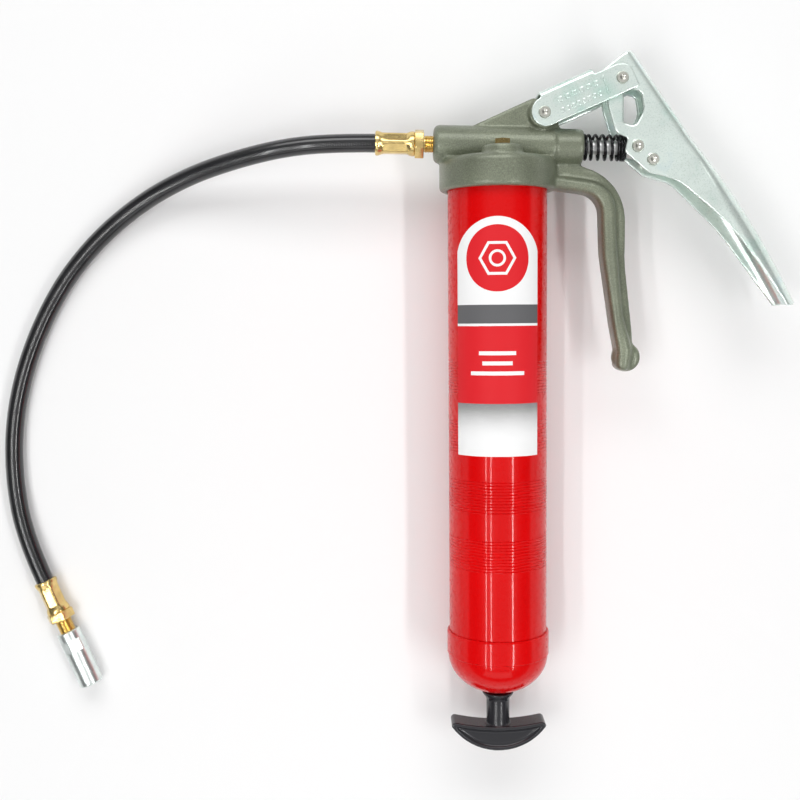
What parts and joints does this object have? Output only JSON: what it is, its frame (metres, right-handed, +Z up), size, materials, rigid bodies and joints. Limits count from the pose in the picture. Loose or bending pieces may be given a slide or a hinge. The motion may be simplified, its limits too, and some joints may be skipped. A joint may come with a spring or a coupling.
{
  "type": "grease gun",
  "caption": "Hand grease gun: lever and link over a cast pump head, red cartridge barrel with domed cap and T-handle, black hose with a grip coupler.",
  "frame": {"origin": "on the bench, under the middle of the box round the gun without its hose", "axes": "+Y along the barrel towards the pump head, +X towards the lever, +Z up from the bench, out of the label side"},
  "size_m": [0.4678, 0.4044, 0.0664],
  "materials": {
    "head_paint": "satin hammered grey-green",
    "red_paint": "high gloss",
    "label_film": "printed film",
    "black_plastic": "moulded, semi gloss",
    "zinc_sheet": "bright zinc plate",
    "rivet_steel": "plated",
    "ground_steel": "ground",
    "black_spring": "black oxide",
    "spring_steel": "drawn wire",
    "plated_steel": "zinc plate",
    "brass": "bright turned",
    "seal_rubber": "matt",
    "hose_rubber": "glossy cover",
    "coupler_zinc": "bright zinc plate",
    "hard_steel": "hardened"
  },
  "bodies": {
    "head": {"head_casting": "head_paint", "barrel_tube": "red_paint", "barrel_gasket": "seal_rubber", "end_cap": "red_paint", "barrel_label": "label_film", "rod_bush": "seal_rubber", "vent_body": "brass", "vent_spring": "spring_steel", "plunger_seal": "seal_rubber", "seal_washer": "ground_steel", "return_spring": "black_spring", "check_spring": "spring_steel", "follower_spring": "spring_steel", "head_nipple": "brass", "head_ferrule": "brass", "hose": "hose_rubber", "end_ferrule": "brass", "end_nipple": "brass", "coupler_body": "coupler_zinc", "coupler_sleeve": "coupler_zinc", "coupler_spring": "spring_steel"},
    "rod": {"follower_rod": "ground_steel", "t_handle": "black_plastic", "rod_stop_washer": "plated_steel", "rod_nut": "plated_steel"},
    "follower": {"follower_plate": "plated_steel", "follower_cup": "seal_rubber", "follower_backing": "plated_steel"},
    "link": {"link_channel": "zinc_sheet", "link_pin": "rivet_steel", "lever_pin": "rivet_steel"},
    "lever": {"trigger_lever": "zinc_sheet", "plunger_pin": "rivet_steel", "spacer_rivet": "rivet_steel"},
    "plunger": {"pump_plunger": "ground_steel", "spring_washer": "black_spring"},
    "vent": {"vent_stem": "brass"},
    "ball": {"check_ball": "ground_steel"},
    "jaws": {"coupler_jaws": "hard_steel", "coupler_seal": "seal_rubber"}
  },
  "joints": [
    {"name": "link_rock", "type": "hinge", "parent": "head", "child": "link", "pos_m": [-0.02432, 0.16731, 0.0332], "axis": [0, 0, 1], "range_deg": [0, 2.25]},
    {"name": "lever_swing", "type": "hinge", "parent": "link", "child": "lever", "pos_m": [0.01918, 0.18601, 0.0332], "axis": [0, 0, -1], "range_deg": [0, 18], "stiffness_Nm_per_rad": 2, "springref_deg": -11.46},
    {"name": "plunger_slide", "type": "slide", "parent": "head", "child": "plunger", "axis": [-0.9996, 0.0279, 0], "range_m": [0, 0.01125], "deforming": ["return_spring"]},
    {"name": "rod_slide", "type": "slide", "parent": "head", "child": "rod", "axis": [0, -1, 0], "range_m": [0, 0.19], "stiffness_N_per_m": 250, "springref_m": -0.1},
    {"name": "follower_slide", "type": "slide", "parent": "head", "child": "follower", "axis": [0, -1, 0], "range_m": [0, 0.19], "deforming": ["follower_spring"]},
    {"name": "vent_press", "type": "slide", "parent": "head", "child": "vent", "axis": [0, -1, 0], "range_m": [0, 0.0004], "stiffness_N_per_m": 400, "springref_m": -0.001, "deforming": ["vent_spring"]},
    {"name": "check_lift", "type": "slide", "parent": "head", "child": "ball", "axis": [-0.9996, 0.0279, 0], "range_m": [0, 0.0015], "stiffness_N_per_m": 300, "springref_m": -0.003, "deforming": ["check_spring"]},
    {"name": "jaw_slide", "type": "slide", "parent": "head", "child": "jaws", "axis": [-0.3859, 0.9225, 0], "range_m": [0, 0.0015], "stiffness_N_per_m": 1500, "springref_m": -0.002, "deforming": ["coupler_spring"]}
  ],
  "couplings": [
    {"joint": "link_rock", "follows": "lever_swing", "ratio": 0.125},
    {"joint": "plunger_slide", "follows": "lever_swing", "m_per_rad": 0.0358},
    {"joint": "follower_slide", "follows": "rod_slide", "ratio": 1}
  ]
}
